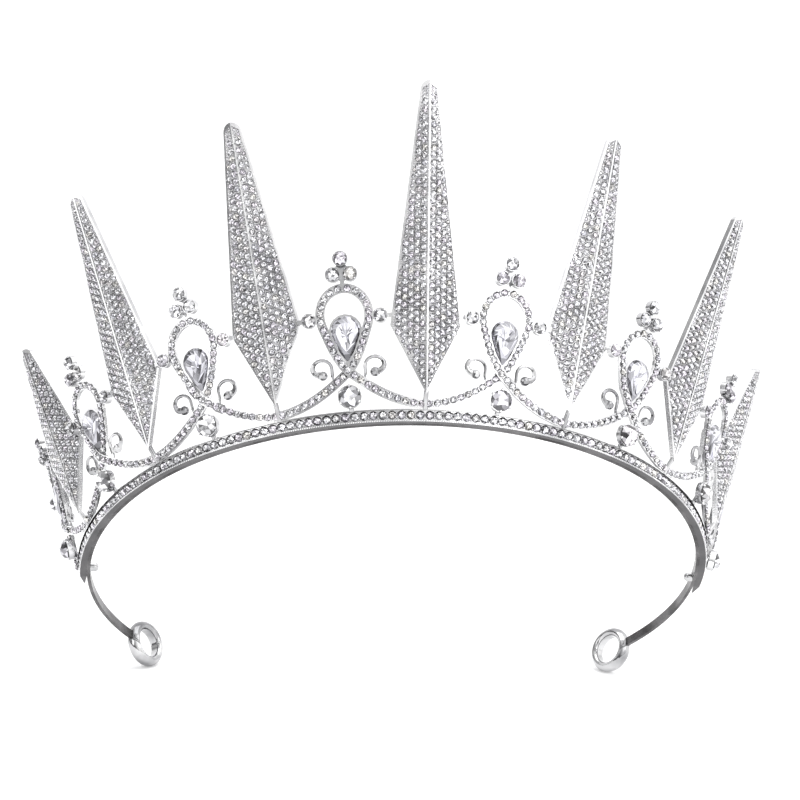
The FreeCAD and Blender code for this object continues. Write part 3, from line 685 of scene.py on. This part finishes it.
def build_large_stones(node, name, prongs, claw):
    """Single round stones, each held by claws of the given radius."""
    gems = Pile()
    claws = Pile()
    for seat in seats(node):
        centre, axis, radius = seat
        add_stone(gems, seat, LARGE_STONE)
        side, top, axis = basis(axis, BAND_UP)
        for index in range(prongs):
            angle = 2 * math.pi * (index + 0.5) / prongs
            out = side * math.cos(angle) + top * math.sin(angle)
            place = centre + out * radius - axis * PRONG_DROP
            add_bead(claws, place, (axis - out * PRONG_LEAN).normalized(), out, claw, PRONG_HEIGHT)
    piece = gems.piece(name, "rhinestone")
    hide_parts(node)
    claws.piece(name + "_prongs", "plated_alloy", smooth=True)


# a pear's rings of corners, from the girdle in: scale of the outline, height and shift towards the next
# corner. Lengths are in units of half the pear's width, as are the ones below.
PEAR_ROWS = ((1.0, 0.0, 0.0), (0.84, 0.3, 0.5), (0.6, 0.42, 0.0), (0.3, 0.3, 0.5))
# painted reflection tones of the pear's facets: the rows from the girdle in, then the star's, then the
# cone's behind
PEAR_TONES = (((0.7, 0.4, 0.2), (0.5, 0.3, 0.15)), ((1.0, 0.7, 0.35), (0.7, 0.45, 0.25)),
              ((1.0, 0.9, 0.6), (0.9, 0.55, 0.35)))
PEAR_STAR_TONES = (1.0, 0.9, 0.6, 0.35)
PEAR_BACK_TONE = 0.5
PEAR_FOCUS = -0.35  # height of the point that the rings shrink towards
PEAR_STAR = 0.1  # heights of the star's middle and of the point behind
PEAR_CULET = -0.42
PEAR_SORT_HEIGHT = 0.6  # drop of the point round which the outline's corners are sorted
PEAR_FIT = 0.995
TIP_SHARE = 0.999  # corners at this share of the farthest one's distance are the pear's tip


def build_pear(number):
    """Faceted pear on the CAD girdle: three rows of facets, a sunk star in front and a cone behind."""
    node = "pear_crystal_%d" % number
    points, triangles = mesh_arrays(node)
    front, middle = largest_flat(points, triangles)[:2]
    depths = np.array([(Vector(point) - middle).dot(front) for point in points])
    around = [Vector(point) - middle for point in points]
    flat = [offset - front * offset.dot(front) for offset in around]
    widest = max(offset.length for offset in flat)
    tip = max(flat, key=lambda offset: offset.length)
    up = -tip.normalized()
    side = up.cross(front).normalized()
    tip_depth = [depth for depth, offset in zip(depths, flat) if offset.length > widest * TIP_SHARE][0]
    girdle = [offset for depth, offset in zip(depths, flat) if abs(depth - tip_depth) < GIRDLE_ERROR]
    width = max(offset.dot(side) for offset in girdle)
    rise = max(offset.dot(up) for offset in girdle) - width
    centre = middle + up * rise + front * tip_depth
    outline = [(offset.dot(side) / width, (offset.dot(up) - rise) / width) for offset in girdle]
    outline.sort(key=lambda corner: math.atan2(corner[1] + PEAR_SORT_HEIGHT, corner[0]))
    count = len(outline)
    shape = []
    for scale, height, shift in PEAR_ROWS:
        for index in range(count):
            x0, y0 = outline[index]
            x1, y1 = outline[(index + 1) % count]
            x = x0 + (x1 - x0) * shift
            y = y0 + (y1 - y0) * shift
            shape.append((x * scale, PEAR_FOCUS + (y - PEAR_FOCUS) * scale, height))
    shape += [(0.0, PEAR_FOCUS, PEAR_STAR), (0.0, PEAR_FOCUS, PEAR_CULET)]
    faces = []
    tones = []
    for row, (low_tones, high_tones) in enumerate(PEAR_TONES):
        for index in range(count):
            after = (index + 1) % count
            low_a, low_b = row * count + index, row * count + after
            high_a, high_b = (row + 1) * count + index, (row + 1) * count + after
            if row % 2 == 0:
                faces += [(low_a, low_b, high_a), (low_b, high_b, high_a)]
            else:
                faces += [(low_b, high_b, high_a), (low_a, low_b, high_a)]
            tones += [rng.choice(low_tones), rng.choice(high_tones)]
    for index in range(count):
        after = (index + 1) % count
        faces += [(3 * count + index, 3 * count + after, 4 * count), (after, index, 4 * count + 1)]
        tones += [rng.choice(PEAR_STAR_TONES), PEAR_BACK_TONE]
    gem = Pile()
    gem.add(placed(shape, centre, (side, up, front), width * PEAR_FIT), faces, tones)
    piece = gem.piece("pear_gem_%d" % number, "pear_crystal")
    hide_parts(node)


# ---------------------------------------------------------------- stage, lights and camera

# sizes of the sweep: half its width, its front edge, where it starts to bend up, the bend and its top
STAGE_REACH = 4.0
STAGE_FRONT = -3.0
STAGE_BACK = 1.2
STAGE_BEND = 0.6
STAGE_TOP = 3.0
STAGE_STEPS = 12

# the room: weight of left to right against height, scale and weight of its patches, tones and strength
ROOM_ACROSS = 0.92
ROOM_PATCHES = 2.6
ROOM_PATCH_SHARE = 0.3
ROOM_TONES = [(0.2, (0.03, 0.03, 0.031)), (0.34, (0.165, 0.165, 0.17)), (0.5, (0.42, 0.42, 0.42)),
              (0.68, (0.75, 0.75, 0.75)), (0.85, WHITE)]
ROOM_STRENGTH = 1.5


def build_stage(floor_height):
    """Pale sweep: a floor that curves up into a backdrop far behind the tiara."""
    profile = [(STAGE_FRONT, floor_height), (STAGE_BACK, floor_height)]
    for step in range(1, STAGE_STEPS + 1):
        angle = math.pi / 2 * step / STAGE_STEPS
        profile.append((STAGE_BACK + STAGE_BEND * math.sin(angle),
                        floor_height + STAGE_BEND * (1 - math.cos(angle))))
    profile.append((STAGE_BACK + STAGE_BEND, floor_height + STAGE_TOP))
    points = []
    faces = []
    for y, z in profile:
        points += [(-STAGE_REACH, y, z), (STAGE_REACH, y, z)]
    for index in range(len(profile) - 1):
        start = 2 * index
        faces.append((start, start + 1, start + 3, start + 2))
    mesh = bpy.data.meshes.new("sweep")
    mesh.from_pydata(points, [], faces)
    mesh.polygons.foreach_set("use_smooth", [True] * len(faces))
    mat, shader = new_material("pale_paper")
    shader.inputs["Base Color"].default_value = (0.92, 0.92, 0.925, 1.0)
    shader.inputs["Roughness"].default_value = 0.85
    shader.inputs["Emission Color"].default_value = (*WHITE, 1.0)
    shader.inputs["Emission Strength"].default_value = 0.2
    mesh.materials.append(mat)
    sweep = bpy.data.objects.new("sweep", mesh)
    bpy.context.collection.objects.link(sweep)


def add_area(name, place, target, size, energy):
    """White area light of a size in metres and a power in watts, turned to a target."""
    data = bpy.data.lights.new(name, "AREA")
    data.size = size
    data.energy = energy
    light = bpy.data.objects.new(name, data)
    light.location = place
    light.rotation_euler = (Vector(target) - Vector(place)).to_track_quat("-Z", "Y").to_euler()
    bpy.context.collection.objects.link(light)


def build_world():
    """Soft mottled room: brighter above and to the right, darker low on the left."""
    world = bpy.data.worlds.new("soft_room")
    world.use_nodes = True
    nodes = world.node_tree.nodes
    links = world.node_tree.links
    background = nodes["Background"]
    coords = nodes.new("ShaderNodeTexCoord")
    split = nodes.new("ShaderNodeSeparateXYZ")
    links.new(coords.outputs["Generated"], split.inputs["Vector"])
    across = nodes.new("ShaderNodeMath")
    across.operation = "MULTIPLY_ADD"
    across.inputs[1].default_value = ROOM_ACROSS
    links.new(split.outputs["X"], across.inputs[0])
    links.new(split.outputs["Z"], across.inputs[2])
    room = nodes.new("ShaderNodeTexNoise")
    room.inputs["Scale"].default_value = ROOM_PATCHES
    room.inputs["Detail"].default_value = 1.0
    links.new(coords.outputs["Generated"], room.inputs["Vector"])
    mixed = nodes.new("ShaderNodeMath")
    mixed.operation = "MULTIPLY_ADD"
    mixed.inputs[1].default_value = ROOM_PATCH_SHARE
    links.new(across.outputs["Value"], mixed.inputs[0])
    links.new(room.outputs["Fac"], mixed.inputs[2])
    ramp = ramp_node(nodes, ROOM_TONES)
    links.new(mixed.outputs["Value"], ramp.inputs["Fac"])
    links.new(ramp.outputs["Color"], background.inputs["Color"])
    background.inputs["Strength"].default_value = ROOM_STRENGTH
    bpy.context.scene.world = world


def build_camera():
    data = bpy.data.cameras.new("camera")
    data.lens = CAMERA_LENS
    data.sensor_width = CAMERA_SENSOR
    data.clip_start = CAMERA_CLIP
    camera = bpy.data.objects.new("camera", data)
    turn = Matrix.Rotation(CAMERA_YAW, 3, "Z") @ Matrix.Rotation(math.pi / 2 - CAMERA_DROP, 3, "X")
    turn = turn @ Matrix.Rotation(CAMERA_ROLL, 3, "Z")
    camera.matrix_world = Matrix.Translation(CAMERA_PLACE) @ turn.to_4x4()
    bpy.context.collection.objects.link(camera)
    bpy.context.scene.camera = camera


# ---------------------------------------------------------------- assembly

build_camera()
for node, obj in NODES.items():
    obj.data.materials.clear()
    obj.data.materials.append(MATERIALS[FINISH_OF.get(node, SLOT_OF[node])])
for number in SPIRES:
    build_spire_field(number)
for number in CASTINGS:
    band_row = build_row("front_stones_%d" % number, "band_row_%d" % number, "band_beads_%d" % number,
                         BAND_BEAD_RADIUS, BAND_NEIGHBOURS)
    build_milgrain(number, band_row)
for number in ORNAMENTS:
    build_row("ornament_stones_%d" % number, "strand_row_%d" % number, "strand_beads_%d" % number,
              STRAND_BEAD_RADIUS, STRAND_NEIGHBOURS)
    build_pear(number)
build_large_stones("trefoil_stones", "trefoil_gems", 4, 0.3 * MM)
build_large_stones("link_stones", "link_gems", 4, 0.28 * MM)
build_large_stones("round_stones", "round_gems", 6, 0.42 * MM)

build_stage(cad_box[0][2])
build_world()
add_area("key", (0.55, -0.7, 0.75), (0, 0, 0.05), 0.9, 2.6)
add_area("top", (0.0, 0.1, 0.95), (0, 0, 0.04), 0.7, 2.0)
add_area("fill", (-0.7, -0.5, 0.3), (0, 0, 0.05), 0.4, 0.8)
bpy.context.scene.view_settings.view_transform = "Standard"
